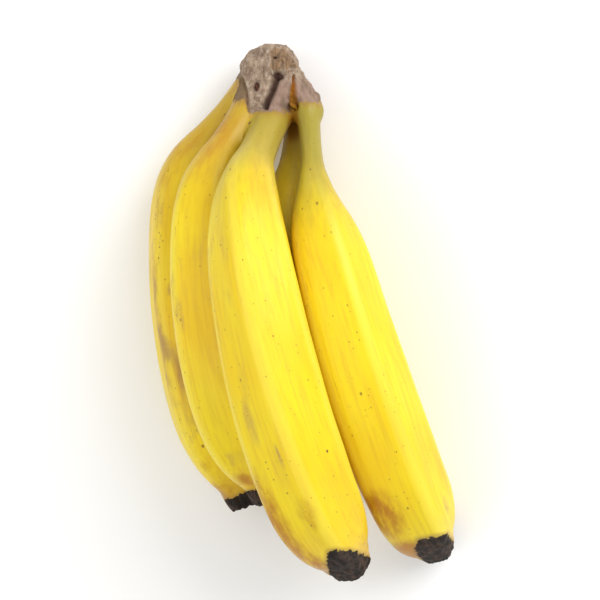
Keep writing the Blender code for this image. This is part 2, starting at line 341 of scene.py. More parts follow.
# Where the painted shade of the crown's pits and folds takes over, on the crown and on the peel.
DARK_SHARE = (0.1, 0.8)
DARK_PEEL = (0.1, 0.8, 0, 0.9)
CUT_STRENGTH = 0.85
# Slopes and spans of the crown's mauve side, smooth patch, reddish pits and the painted shade in the
# gap between the front necks, across and up the hand in millimetres.
MAUVE_SLOPE, MAUVE_SIDE, MAUVE_TOP = -0.59, (-3.2, -1.0), (16, 11, 0, 0.9)
SMOOTH_SLOPE, SMOOTH_SIDE, SMOOTH_TOP = 0.19, (-7.6, -8.3), (16.5, 14.5, 0, 0.9)
RED_SIDE = (-2.5, -4.5)
SHADED_SIDE = (7.2, 8.6)
SHADED_RISE = (3, 13)

# The camera's place in the hand's own millimetres, its lens and its sensor.
CAMERA_SPOT = (12.245, -76.33, 1100)
CAMERA_LENS = 161.7
CAMERA_SENSOR = 36
CAMERA_REACH = 20

# Lamps: the way to them as the camera sees it, and their distance and width in metres.
KEY_LAMP = ((0.62, 0.55, 0.9), 1.1, 0.8)
FILL_LAMP = ((-0.9, -0.25, 0.8), 1.3, 1.2)
LIT_SPOT = (0, 0, 0.04)
FLOOR_DROP = 0.0003
FLOOR_SQUARES = 8


def smooth_step(start, end, value):
    """Rise from 0 at start to 1 at end with level ends."""
    share = np.clip((value - start) / (end - start), 0, 1)
    return share * share * (3 - 2 * share)


def smooth_curve(knots, place):
    """Read a curve that passes through the knots without overshooting between them."""
    x, y = (np.array(column, float) for column in zip(*knots))
    step = np.diff(x)
    slope = np.diff(y) / step
    tangent = np.concatenate(([slope[0]], np.zeros(len(x) - 2), [slope[-1]]))
    for i in range(1, len(x) - 1):
        if slope[i - 1] * slope[i] > 0:
            before = 2 * step[i] + step[i - 1]
            after = step[i] + 2 * step[i - 1]
            tangent[i] = (before + after) / (before / slope[i - 1] + after / slope[i])
    i = np.clip(np.searchsorted(x, place) - 1, 0, len(step) - 1)
    t = (place - x[i]) / step[i]
    return ((2 * t**3 - 3 * t**2 + 1) * y[i] + (t**3 - 2 * t**2 + t) * step[i] * tangent[i]
            + (3 * t**2 - 2 * t**3) * y[i + 1] + (t**3 - t**2) * step[i] * tangent[i + 1])


def soft_max(values, width):
    """The largest of several heights, rounded over where they meet."""
    stack = np.stack(values) / width
    top = stack.max(0)
    return (top + np.log(np.exp(stack - top).sum(0))) * width


def unevenness(spots, grain):
    """Smooth seeded unevenness, mostly between -1 and 1."""
    chance = np.random.default_rng(grain.seed)
    stretched = spots * grain.stretch
    total = np.zeros(len(spots))
    for octave in range(grain.octaves):
        ways = chance.normal(size=(3, WAVE_COUNT))
        ways *= 2 * pi / (grain.size * 0.5**octave) / np.linalg.norm(ways, axis=0)
        waves = np.sin(stretched @ ways + chance.uniform(0, 2 * pi, WAVE_COUNT)).sum(1)
        total += waves * 0.5**octave / (WAVE_COUNT / 2)
    return np.clip(total, -UNEVENNESS_LIMIT, UNEVENNESS_LIMIT)


# The fingers' centre lines


def curve_turn(finger, place):
    """Degrees that the centre line has turned from its start, at a reference place."""
    body_share = np.clip((place - BODY_BEND[0]) / (BODY_BEND[1] - BODY_BEND[0]), 0, 1)
    return (finger.neck_turn * smooth_step(*NECK_BEND, place) + finger.body_turn * body_share
            + finger.tip_turn * smooth_step(*TIP_BEND, place))


def chord_frame(finger):
    """The chord's direction, the way the rounded back looks, and the way across them."""
    fan, dip, face = radians(finger.fan), radians(finger.dip), radians(finger.face)
    chord = np.array((sin(fan) * cos(dip), -cos(fan) * cos(dip), sin(dip)))
    left = np.array((-cos(fan), -sin(fan), 0.0))
    front = np.cross(left, chord)
    back = cos(face) * left + sin(face) * front
    return chord, back, np.cross(chord, back)


def centre_line(finger, places):
    """Points of the centre line with its outward, sideways and forward directions."""
    scale = finger.length / REFERENCE_LENGTH
    chord, back, across = chord_frame(finger)
    fine = np.linspace(0, REFERENCE_LENGTH, CURVE_SAMPLES)
    heading = np.radians(finger.rise - curve_turn(finger, fine))
    step = (fine[1] - fine[0]) * scale
    middle = (heading[1:] + heading[:-1]) / 2
    along = np.concatenate(([0], np.cumsum(np.cos(middle)) * step))
    bulge = np.concatenate(([0], np.cumsum(np.sin(middle)) * step))
    turned = np.interp(places, fine, heading)[:, None]
    share = (places / REFERENCE_LENGTH)[:, None]
    points = (np.array(finger.root) + np.interp(places, fine, along)[:, None] * chord
              + np.interp(places, fine, bulge)[:, None] * back + finger.sway * share**2 * across)
    outward = np.cos(turned) * back - np.sin(turned) * chord
    forward = np.cos(turned) * chord + np.sin(turned) * back
    return points, outward, np.tile(across, (len(places), 1)), forward


Guide = namedtuple("Guide", "finger speed place points outward across forward flare")


def make_guide(finger):
    """A finger's centre line in small steps, run back from its root to its heart in the crown."""
    places = np.arange(0, REFERENCE_LENGTH + GUIDE_STEP / 2, GUIDE_STEP)
    points, outward, across, forward = centre_line(finger, places)
    speed = finger.length / REFERENCE_LENGTH
    start, way = points[0], forward[0]
    heart = np.array((HEART_SPREAD * finger.root[0], HEART_HEIGHT,
                      HEART_SPREAD * finger.root[2] + HEART_DEPTH))
    share = np.linspace(0, 1, HEART_STEPS)[1:, None]
    bend = start - HEART_REACH * way
    root = (1 - share)**2 * start + 2 * share * (1 - share) * bend + share**2 * heart
    back = (root - start) @ way / speed
    falling = np.concatenate(([True], np.diff(back) < -HEART_LEAST_STEP))
    count = len(falling) if falling.all() else int(np.argmin(falling))
    root, back, share = root[:count][::-1], back[:count][::-1], share[:count, 0][::-1]
    return Guide(finger, speed, np.concatenate((back, places)), np.vstack((root, points)),
                 np.vstack((np.tile(outward[0], (count, 1)), outward)),
                 np.vstack((np.tile(across[0], (count, 1)), across)),
                 np.vstack((np.tile(way, (count, 1)), forward)),
                 np.concatenate((1 + HEART_FLARE * share, np.ones(len(places)))))


def read_guide(guide, rows, place):
    """Directions or points of a guide at any places."""
    return np.stack([np.interp(place, guide.place, rows[:, i]) for i in range(3)], 1)


def usual_shapes():
    """Mean of the five-sided section over a turn, for each exponent."""
    exponents = np.linspace(ROUND_EXPONENT, RIDGED_EXPONENT, SHAPE_SAMPLES)
    angles = np.linspace(0, 2 * pi, TURN_SAMPLES, endpoint=False)
    means = [five_sided(np.full(TURN_SAMPLES, exponent), angles).mean() for exponent in exponents]
    return exponents, np.array(means)


def five_sided(exponent, angles):
    """Radius of the round-cornered pentagon, not yet scaled."""
    total = np.zeros_like(angles)
    for face in range(FACE_COUNT):
        middle = (face + 0.5) * 2 * pi / FACE_COUNT
        total += np.maximum(0, np.cos(angles - middle))**exponent
    return total**(-1 / exponent)


USUAL_SHAPES = usual_shapes()


def section_radius(finger, place, angle):
    """Radius of the skin at places along a finger and angles round it."""
    place = np.clip(place, 0, REFERENCE_LENGTH)
    ridged = smooth_step(*RIDGES_RISE, place)
    ridged = ridged * (1 - RIDGES_FADE_SHARE * smooth_step(*RIDGES_FADE, place))
    exponent = ROUND_EXPONENT + (RIDGED_EXPONENT - ROUND_EXPONENT) * ridged
    shape = five_sided(exponent, angle) / np.interp(exponent, *USUAL_SHAPES)
    slimming = smooth_step(*WAIST_START, place) * (1 - smooth_step(*WAIST_END, place))
    girth = finger.girth * (1 - (1 - finger.waist) * slimming)
    radius = smooth_curve(GIRTH_PROFILE, place) + finger.blunt * smooth_curve(BLUNT_TIP, place)
    return radius * girth * shape


def ridge_twist(finger, place):
    """How far the ridges have turned round a finger at places along it."""
    share = np.clip(place, 0, None) / REFERENCE_LENGTH
    return np.radians(finger.ridge_neck + (finger.ridge_tip - finger.ridge_neck) * share)


def stub_dish(part):
    """How deep the end of a stub is dished at a share of its radius."""
    return STUB_DISH_DEPTH * (1 - smooth_step(*STUB_DISH_RING, part))


def crown_section(level):
    """Middle across, middle in depth, half width and half depth of the crown at a level."""
    return (smooth_curve([(section[0], section[i]) for section in CROWN_SECTIONS], level)
            for i in (1, 2, 3, 4))


Reading = namedtuple("Reading", "place angle radius lift height")


class HandShape:
    """The hand's smooth shape, as a height over its skin that can be read at any spots."""

    def __init__(self, spots):
        """Guess where each spot lies along each finger, from the guide's coarse points."""
        self.guides = [make_guide(finger) for finger in FINGERS]
        self.guesses = []
        self.near = []
        for guide in self.guides:
            coarse = guide.points[::COARSE_STEP]
            guess = np.zeros(len(spots), int)
            gap = np.zeros(len(spots))
            for start in range(0, len(spots), SPOTS_AT_ONCE):
                part = slice(start, start + SPOTS_AT_ONCE)
                squares = ((spots[part, None, :] - coarse[None])**2).sum(2)
                guess[part] = squares.argmin(1) * COARSE_STEP
                gap[part] = np.sqrt(squares.min(1))
            self.guesses.append(guide.place[guess])
            self.near.append(gap < FAR_AWAY)

    def read_finger(self, number, spots):
        """Where spots lie along and round one finger, and how high over its skin."""
        guide = self.guides[number]
        near = self.near[number]
        close = spots[near]
        place = self.guesses[number][near]
        turning = np.gradient(guide.forward, guide.place, axis=0)
        for _ in range(SEEK_ROUNDS):
            offset = close - read_guide(guide, guide.points, place)
            forward = read_guide(guide, guide.forward, place)
            ahead = (offset * forward).sum(1)
            lean = (offset * read_guide(guide, turning, place)).sum(1)
            stride = ahead / np.maximum(guide.speed - lean, LEAST_PACE)
            place = np.clip(place + np.clip(stride, -SEEK_STRIDE, SEEK_STRIDE),
                            guide.place[0], guide.place[-1])
        offset = close - read_guide(guide, guide.points, place)
        ahead = (offset * read_guide(guide, guide.forward, place)).sum(1)
        out = (offset * read_guide(guide, guide.outward, place)).sum(1)
        side = (offset * read_guide(guide, guide.across, place)).sum(1)
        angle = np.arctan2(side, out) - ridge_twist(guide.finger, place)
        radius = np.hypot(out, side)
        skin = section_radius(guide.finger, place, angle)
        skin = skin * np.interp(place, guide.place, guide.flare)
        past_end = ahead - (REFERENCE_LENGTH - place) * guide.speed + stub_dish(radius / skin)
        before_heart = -ahead - (place - guide.place[0]) * guide.speed
        height = np.maximum(soft_max((radius - skin, past_end), STUB_RIM), before_heart)
        lift = offset[:, 2] / np.maximum(radius, 1)
        whole = Reading(*(np.zeros(len(spots)) for _ in range(4)),
                        np.full(len(spots), float(FAR_AWAY)))
        for column, value in zip(whole, (place, angle, radius, lift, height)):
            column[near] = value
        return whole

    def read_crown(self, spots):
        """How high spots lie over the skin of the crown."""
        levels = [section[0] for section in CROWN_SECTIONS]
        level = np.clip(spots[:, 1], levels[0], levels[-1])
        middle_x, middle_z, half_width, half_depth = crown_section(level)
        x, z = np.abs(spots[:, 0] - middle_x), np.abs(spots[:, 2] - middle_z)
        share = (x / half_width)**CROWN_SQUARENESS + (z / half_depth)**CROWN_SQUARENESS
        share = share**(1 / CROWN_SQUARENESS)
        side = np.hypot(x, z) * (1 - 1 / np.maximum(share, LEAST_SHARE))
        heights = [side, spots[:, 1] - levels[-1], levels[0] - spots[:, 1]]
        heights += [(spots - np.array(point)) @ np.array(way) for point, way in CROWN_CUTS]
        return soft_max(heights, CROWN_EDGE)

    def height(self, spots):
        """How high spots lie over the fused skin."""
        heights = [self.read_finger(number, spots).height for number in range(len(FINGERS))]
        heights.append(self.read_crown(spots))
        share = smooth_step(*FILLET_SPAN, spots[:, 1])
        width = FILLET_AT_BODIES + (FILLET_AT_CROWN - FILLET_AT_BODIES) * share
        return -soft_max([-height for height in heights], width)

    def settle(self, spots):
        """Move spots straight onto the fused skin."""
        spots = spots.copy()
        for _ in range(SETTLE_ROUNDS):
            height = self.height(spots)
            slope = [self.height(spots + SETTLE_NUDGE * way) - height for way in np.eye(3)]
            slope = np.stack(slope, 1) / SETTLE_NUDGE
            steep = np.maximum((slope**2).sum(1), LEAST_SLOPE)[:, None]
            spots -= np.clip(height, -SETTLE_STRIDE, SETTLE_STRIDE)[:, None] * slope / steep
        return spots


# The mesh


def loft(rings, name):
    """Join closed rings of points into one closed mesh object, with flat ends."""
    grid = bmesh.new()
    loops = [[grid.verts.new(Vector(point)) for point in ring] for ring in rings]
    for lower, upper in zip(loops, loops[1:]):
        for i in range(len(lower)):
            j = (i + 1) % len(lower)
            grid.faces.new((lower[i], lower[j], upper[j], upper[i]))
    for end in (loops[0], loops[-1]):
        centre = grid.verts.new(sum((vert.co for vert in end), Vector()) / len(end))
        for i in range(len(end)):
            grid.faces.new((end[i], end[(i + 1) % len(end)], centre))
    bmesh.ops.recalc_face_normals(grid, faces=grid.faces)
    mesh = bpy.data.meshes.new(name)
    grid.to_mesh(mesh)
    grid.free()
    body = bpy.data.objects.new(name, mesh)
    bpy.context.scene.collection.objects.link(body)
    return body


def finger_loft(finger, step):
    """One finger from its heart in the crown to the dished end of its stub."""
    guide = make_guide(finger)
    places = [guide.place[0]]
    for until, share in RING_GAPS:
        count = max(2, int((until - places[-1]) * guide.speed / (share * step)))
        places += list(np.linspace(places[-1], until, count + 1)[1:])
    places = np.array(places)
    sides = int(2 * pi * FULL_RADIUS / step)
    angles = np.linspace(0, 2 * pi, sides, endpoint=False)[None, :]
    points, outward, across, forward = (read_guide(guide, rows, places)[:, None, :] for rows in
                                        (guide.points, guide.outward, guide.across, guide.forward))
    radius = section_radius(finger, np.tile(places[:, None], (1, sides)),
                            np.tile(angles, (len(places), 1)))
    radius = (radius * np.interp(places, guide.place, guide.flare)[:, None])[:, :, None]
    turned = (angles + ridge_twist(finger, places)[:, None])[:, :, None]
    rings = list(points + radius * (np.cos(turned) * outward + np.sin(turned) * across))
    rim, middle, way = rings[-1], points[-1, 0], forward[-1, 0]
    rings += [middle + part * (rim - middle) - stub_dish(part) * way for part in STUB_FACE_RINGS]
    return loft(rings, finger.name)


def crown_loft(step):
    """The crown before its cuts, with close rings and finely divided ends."""
    low, high = CROWN_SECTIONS[0][0], CROWN_SECTIONS[-1][0]
    gap = CROWN_GAP * step
    rows = [(low, part) for part in np.arange(*CROWN_LOW_RINGS)]
    rows += [(level, 1) for level in np.linspace(low, high, int((high - low) / gap) + 1)]
    rows += [(high, part) for part in np.arange(*CROWN_HIGH_RINGS)]
    sides = int(2 * pi * CROWN_RADIUS / gap)
    angles = np.linspace(0, 2 * pi, sides, endpoint=False)
    width_way, depth_way = (np.sign(way) * np.abs(way)**(2 / CROWN_SQUARENESS)
                            for way in (np.cos(angles), np.sin(angles)))
    rings = []
    for level, part in rows:
        x, z, half_width, half_depth = crown_section(level)
        rings.append(np.column_stack((x + part * half_width * width_way, np.full(sides, level),
                                      z + part * half_depth * depth_way)))
    return loft(rings, "crown")


def fused_hand(step):
    """The crown and all fingers as one closed mesh, in millimetres."""
    crown = crown_loft(step)
    fingers = [finger_loft(finger, step) for finger in FINGERS]
    for finger in fingers:
        union = crown.modifiers.new(finger.name, 'BOOLEAN')
        union.operation = 'UNION'
        union.solver = 'MANIFOLD'
        union.object = finger
    bpy.context.view_layer.update()
    joined = crown.evaluated_get(bpy.context.evaluated_depsgraph_get())
    fused = bpy.data.meshes.new_from_object(joined)
    for body in (crown, *fingers):
        mesh = body.data
        bpy.data.objects.remove(body)
        bpy.data.meshes.remove(mesh)
    tidy = bmesh.new()
    tidy.from_mesh(fused)
    bmesh.ops.remove_doubles(tidy, verts=tidy.verts, dist=WELD_GAP)
    bmesh.ops.dissolve_degenerate(tidy, edges=tidy.edges, dist=WELD_GAP)
    bmesh.ops.triangulate(tidy, faces=[face for face in tidy.faces if len(face.verts) > 4])
    tidy.to_mesh(fused)
    tidy.free()
    return fused


def vertex_rows(data, name):
    """A vector of each vertex as rows, such as its place or the way that the skin looks there."""
    flat = np.empty(len(data) * 3)
    data.foreach_get(name, flat)
    return flat.reshape(-1, 3)


def refine(mesh, wanted):
    """Halve the faces whose corners are all wanted."""
    fine = bmesh.new()
    fine.from_mesh(mesh)
    fine.verts.ensure_lookup_table()
    edges = [edge for edge in fine.edges if all(wanted[vert.index] for vert in edge.verts)]
    bmesh.ops.subdivide_edges(fine, edges=edges, cuts=1, use_grid_fill=True)
    bmesh.ops.triangulate(fine, faces=[face for face in fine.faces if len(face.verts) > 4])
    fine.to_mesh(mesh)
    fine.free()


def lay_down():
    """The matrix that takes the hand's own millimetres to the way it lies, in metres."""
    turn = Matrix.Rotation(radians(REST_ROLL), 4, 'Y') @ Matrix.Rotation(radians(REST_PITCH), 4, 'X')
    return Matrix.Translation(Vector(CROWN_FOOT_AT) * MM) @ turn @ Matrix.Scale(MM, 4)


def front_share(spots):
    """1 on the front of the crown and 0 on its back."""
    return smooth_step(*CROWN_FRONT, spots[:, 2])


def pit_share(spots):
    """1 in the middle of one of the crown's pits and 0 outside, and how deep it goes. The share is how
    strongly the pits are painted dark, as painted shade.
    """
    share = np.zeros(len(spots))
    depth = np.zeros(len(spots))
    for (x, y), across, along, deep in CROWN_PITS:
        gap = np.hypot((spots[:, 0] - x) / across, (spots[:, 1] - y) / along)
        here = (1 - smooth_step(*PIT_EDGE, gap)) * front_share(spots)
        share = np.maximum(share, here)
        depth = np.maximum(depth, here * deep)
    return share, depth


def fold_share(spots):
    """1 in the bottom of a fold of the crown and 0 outside, and how deep it goes. The share is how
    strongly the fold is painted dark, as painted shade.
    """
    share = np.zeros(len(spots))
    depth = np.zeros(len(spots))
    for path, (start_width, end_width), deep, reach in CROWN_FOLDS:
        parts = len(path) - 1
        for number in range(parts):
            start, end = np.array(path[number]), np.array(path[number + 1])
            along = end - start
            ratio = np.clip((spots[:, :2] - start) @ along / (along @ along), 0, 1)
            gap = np.linalg.norm(spots[:, :2] - start - ratio[:, None] * along, axis=1)
            travelled = (number + ratio) / parts
            width = start_width + (end_width - start_width) * travelled
            here = 1 - smooth_step(*FOLD_EDGE, gap / width)
            here *= smooth_step(reach - FOLD_REACH_BLUR, reach + FOLD_REACH_BLUR, spots[:, 2])
            here *= 1 - FOLD_FADE_SHARE * smooth_step(*FOLD_FADE, travelled)
            share = np.maximum(share, here * min(1, FOLD_DARKNESS * deep))
            depth = np.maximum(depth, here**2 * deep * smooth_step(*FOLD_FOOT, spots[:, 1]))
    return share, depth


def depth_inside(spots, corners):
    """How far spots lie inside an outline that turns left, seen from the front, in millimetres."""
    inside = np.full(len(spots), np.inf)
    corners = np.array(corners, float)
    for start, end in zip(corners, corners[1:]):
        along = (end - start) / np.linalg.norm(end - start)
        inside = np.minimum(inside, (spots[:, :2] - start) @ np.array((-along[1], along[0])))
    return inside


def cut_share(spots):
    """1 on the freshest cut face, seen from the front, and 0 outside it."""
    inside = depth_inside(spots, (*CUT_OUTLINE, CUT_OUTLINE[0]))
    inside = inside + CUT_WOBBLE_REACH * unevenness(spots, CUT_WOBBLE)
    return smooth_step(*CUT_EDGE, inside) * front_share(spots)


Traits = namedtuple("Traits", "along flow ridge past_cork stub temper crown worn amber brown")


def of_owner(values, owner):
    """The value of the finger that each spot belongs to."""
    return np.array(values)[owner]


def mark_share(marks, owner, travelled, angle, radius):
    """How strongly spots lie in soft marks, from their way along and round their fingers."""
    share = np.zeros(len(owner))
    names = [finger.name for finger in FINGERS]
    for name, place, turn, half_length, half_width, strength in marks:
        number = names.index(name)
        along = travelled - place * FINGERS[number].length / REFERENCE_LENGTH
        around = radius * ((angle - radians(turn) + pi) % (2 * pi) - pi)
        gap = np.hypot(along / half_length, around / half_width)
        here = strength * (1 - smooth_step(*MARK_EDGE, gap)) * (owner == number)
        share = np.maximum(share, here)
    return share


class SkinReader:
    """Reads what the skin's finish depends on, for each spot or for each corner of a face."""

    def __init__(self, spots):
        self.shape = HandShape(spots)
        self.spots = spots
        readings = [self.shape.read_finger(number, spots) for number in range(len(FINGERS))]
        self.place, self.angle, self.radius, self.lift, self.height = (
            np.stack(rows) for rows in zip(*readings))
        over_crown = self.height.min(0) - self.shape.read_crown(spots)
        self.crown = smooth_step(*CROWN_OWN, over_crown)

    def face_owners(self, corners, counts):
        """The finger that each face belongs to, given again for each of its corners."""
        starts = np.concatenate(([0], np.cumsum(counts)[:-1]))
        return np.repeat(np.add.reduceat(self.height[:, corners], starts, axis=1).argmin(0), counts)

    def traits(self, owner, index):
        """The traits of spots, each read on the finger that owns it."""
        place, angle, radius = (rows[owner, index] for rows in (self.place, self.angle, self.radius))
        spots, crown = self.spots[index], self.crown[index]
        names = [finger.name for finger in FINGERS]
        speed = of_owner([guide.speed for guide in self.shape.guides], owner)
        under_lobe = smooth_step(*LOBE_EDGE, spots[:, 0]) * (owner == names.index(LOBE_FINGER))
        edge = of_owner([CORK_EDGE[name] for name in names], owner) - LOBE_RUN * under_lobe
        past_cork = (1 - crown) * (edge - spots[:, 1]) - CROWN_PAST_CORK * crown
        flow = np.stack((place * speed + FLOW_GAP * owner, radius * np.cos(angle),
                         radius * np.sin(angle)), 1)
        stub = (place - of_owner([STUB_START[name] for name in names], owner)) * speed
        facing = smooth_step(*BLACK_FACING, self.lift[owner, index])
        for name, outline in BLACK_OUTLINES.items():
            front = np.minimum(depth_inside(spots, outline), (place - BLACK_START) * speed)
            stub = np.where(owner == names.index(name), stub + facing * (front - stub), stub)
        twists = np.stack([ridge_twist(finger, place) for finger in FINGERS])
        turned = angle + twists[owner, np.arange(len(place))]
        face = of_owner(np.radians([finger.face for finger in FINGERS]), owner)
        worn = smooth_step(*LEFT_FACING_SPAN, np.cos(turned - face))
        amber, brown = (mark_share(marks, owner, place * speed, angle, radius)
                        for marks in (AMBER_AND_SHADE_MARKS, BROWN_MARKS))
        return Traits(place, flow, np.cos(FACE_COUNT * angle), past_cork, stub,
                      of_owner([TEMPER[name] for name in names], owner), crown, worn, amber, brown)

    def spot_traits(self):
        """The traits of all spots, each read on the finger whose skin is nearest."""
        return self.traits(self.height.argmin(0), np.arange(len(self.spots)))


def wither(reader, looks, form):
    """Uneven skin: dents on the bodies, ribs on the necks, lumps, folds and pits on the crown."""
    spots, traits = reader.spots, reader.spot_traits()
    body = smooth_step(*DENTS_START, traits.past_cork) * (1 - smooth_step(*DENTS_END, traits.stub))
    sink = -form.dents * body * (1 + unevenness(traits.flow, DENTS)) / 2
    neck = smooth_step(*RIBS_START, traits.past_cork) * (1 - smooth_step(*RIBS_END, traits.along))
    sink += form.neck_ribs * neck * unevenness(traits.flow, NECK_RIBS)
    cork = 1 - smooth_step(*LUMPS_END, traits.past_cork)
    lumps = unevenness(spots, LUMPS) + SMALL_LUMP_SHARE * unevenness(spots, SMALL_LUMPS)
    cracks = -(1 - np.abs(unevenness(spots, CRACKS)))**CRACK_SHARPNESS
    cut = cut_share(spots) * traits.crown
    crust = (1 - CUT_FLATNESS * cut) * (lumps - LUMP_LEVEL) + CRACK_SHARE * cracks
    fibres = FIBRE_SHARE * unevenness(spots, FIBRES) - CUT_LEVEL
    sink += form.cork_lumps * (cork * crust + cut * fibres)
    sink -= pit_share(spots)[1] + fold_share(spots)[1]
    stub = smooth_step(*WRINKLES_START, traits.stub)
    sink += form.stub_wrinkles * stub * (unevenness(traits.flow, STUB_WRINKLES) - WRINKLE_LEVEL)
    return spots + sink[:, None] * looks


def keep_traits(mesh, kind, field, domain, rows_by_name):
    """Keep named traits on the mesh, one value for each vertex or each corner of a face."""
    for name, rows in rows_by_name.items():
        layer = mesh.attributes.new(name, kind, domain)
        layer.data.foreach_set(field, rows.astype(np.float32).ravel())


def grow_mesh(form):
    """The finished skin as a mesh in the row's frame, with its traits on it."""
    mesh = fused_hand(form.mesh_step)
    traits = SkinReader(vertex_rows(mesh.vertices, "co")).spot_traits()
    refine(mesh, (traits.past_cork < FINE_PAST_CORK) | (traits.stub > FINE_STUB))
    spots = vertex_rows(mesh.vertices, "co")
    by_stub = SkinReader(spots).spot_traits().stub > DRAWN_STUB
    drawn = (spots[:, 1] > FILLET_SPAN[0]) | by_stub
    spots[drawn] = HandShape(spots[drawn]).settle(spots[drawn])
    mesh.vertices.foreach_set("co", spots.ravel())
    mesh.update()
    reader = SkinReader(spots)
    withered = wither(reader, vertex_rows(mesh.vertex_normals, "vector"), form)
    laid = np.array(lay_down())
    placed = withered @ laid[:3, :3].T + laid[:3, 3]
    low, high = (np.array(corner) for corner in SOLID_BOX)
    mesh.vertices.foreach_set("co", np.clip(placed, low, high).ravel())

    counts = np.empty(len(mesh.polygons), int)
    corners = np.empty(len(mesh.loops), int)
    mesh.polygons.foreach_get("loop_total", counts)
    mesh.loops.foreach_get("vertex_index", corners)
    traits = reader.traits(reader.face_owners(corners, counts), corners)
    # Painted shade in the crown's pits and folds, kept on the mesh as the trait named dark.
    dark = np.maximum(pit_share(spots)[0], FOLD_SHADE * fold_share(spots)[0])
    keep_traits(mesh, 'FLOAT', "value", 'CORNER', {
        name: getattr(traits, name)
        for name in ("along", "ridge", "past_cork", "stub", "worn", "amber", "brown")})
    keep_traits(mesh, 'FLOAT', "value", 'POINT', {"dark": dark, "cut": cut_share(spots)})
    keep_traits(mesh, 'FLOAT_VECTOR', "vector", 'CORNER',
                {"flow": traits.flow, "temper": traits.temper})
    keep_traits(mesh, 'FLOAT_VECTOR', "vector", 'POINT', {"hand": spots})
    mesh.shade_smooth()
    mesh.set_sharp_from_angle(angle=radians(CREASE_ANGLE))
    mesh.update()
    return mesh


# The skin's finish


class SkinBench:
    """The shader nodes that the skin is mixed from."""

    def __init__(self, tree):
        self.tree = tree

    def put(self, socket, value):
        """Link a socket, or set it where the value is plain."""
        if isinstance(value, bpy.types.NodeSocket):
            self.tree.links.new(value, socket)
        elif hasattr(value, "__len__") and len(value) == 3 and len(socket.default_value) == 4:
            socket.default_value = (*value, 1.0)
        else:
            socket.default_value = value

    def node(self, kind, **settings):
        """Add a node with settings."""
        made = self.tree.nodes.new(kind)
        for name, value in settings.items():
            setattr(made, name, value)
        return made

    def trait(self, name, output="Fac"):
        """A trait of the mesh: Fac for a number, Vector for three."""
        return self.node("ShaderNodeAttribute", attribute_name=name).outputs[output]

    def number(self, operation, *values, clamp=False):
        """Work out a number from others."""
        made = self.node("ShaderNodeMath", operation=operation, use_clamp=clamp)
        for socket, value in zip(made.inputs, values):
            self.put(socket, value)
        return made.outputs[0]

    def step(self, value, low, high, to_low=0.0, to_high=1.0):
        """Go smoothly from to_low at low to to_high at high."""
        made = self.node("ShaderNodeMapRange", interpolation_type='SMOOTHSTEP')
        if low > high:
            low, high, to_low, to_high = high, low, to_high, to_low
        for socket, item in zip(made.inputs, (value, low, high, to_low, to_high)):
            self.put(socket, item)
        return made.outputs[0]

    def blend(self, share, first, second):
        """Mix a share of the second colour into the first."""
        made = self.node("ShaderNodeMix", data_type='RGBA')
        for name, value in (("Factor_Float", share), ("A_Color", first), ("B_Color", second)):
            socket = next(item for item in made.inputs if item.identifier == name)
            self.put(socket, value)
        return next(item for item in made.outputs if item.identifier == "Result_Color")

    def stretch(self, vector, sizes):
        """Divide a position in millimetres by three sizes."""
        made = self.node("ShaderNodeVectorMath", operation='DIVIDE')
        self.put(made.inputs[0], vector)
        made.inputs[1].default_value = sizes
        return made.outputs[0]

    def noise(self, vector, sizes, detail=3.0, rough=0.55, warp=0.0):
        """Noise with features of three sizes in millimetres."""
        made = self.node("ShaderNodeTexNoise")
        for name, value in (("Vector", self.stretch(vector, sizes)), ("Scale", 1.0),
                            ("Detail", detail), ("Roughness", rough), ("Distortion", warp)):
            self.put(made.inputs[name], value)
        return made.outputs["Fac"]

    def pattern(self, vector, kind):
        """The share of a pattern at each spot."""
        noise = self.noise(vector, kind.sizes, kind.detail, kind.rough, kind.warp)
        return self.step(noise, kind.start, kind.full, kind.least, kind.most)

    def ragged(self, edge, vector, kind):
        """Move an edge to and fro by noise."""
        noise = self.noise(vector, kind.sizes, kind.detail, kind.rough)
        shift = self.number('SUBTRACT', noise, kind.middle)
        return self.number('MULTIPLY_ADD', shift, kind.reach, edge)

    def specks(self, vector, sizes, radius, share):
        """Round specks in a share of cells of three sizes."""
        made = self.node("ShaderNodeTexVoronoi")
        self.put(made.inputs["Vector"], self.stretch(vector, sizes))
        self.put(made.inputs["Scale"], 1.0)
        parts = self.node("ShaderNodeSeparateColor")
        self.put(parts.inputs[0], made.outputs["Color"])
        own_size = self.number('MULTIPLY', self.number('ADD', parts.outputs[1], FRECKLE_LEAST), radius)
        dot = self.step(self.number('DIVIDE', made.outputs["Distance"], own_size), *FRECKLE_EDGE)
        return self.number('MULTIPLY', dot, self.number('LESS_THAN', parts.outputs[0], share))

    def all_of(self, *shares):
        """The product of several shares."""
        total = shares[0]
        for share in shares[1:]:
            total = self.number('MULTIPLY', total, share)
        return total

    def parts_of(self, vector):
        """The three numbers of a vector."""
        made = self.node("ShaderNodeSeparateXYZ")
        self.put(made.inputs[0], vector)
        return made.outputs


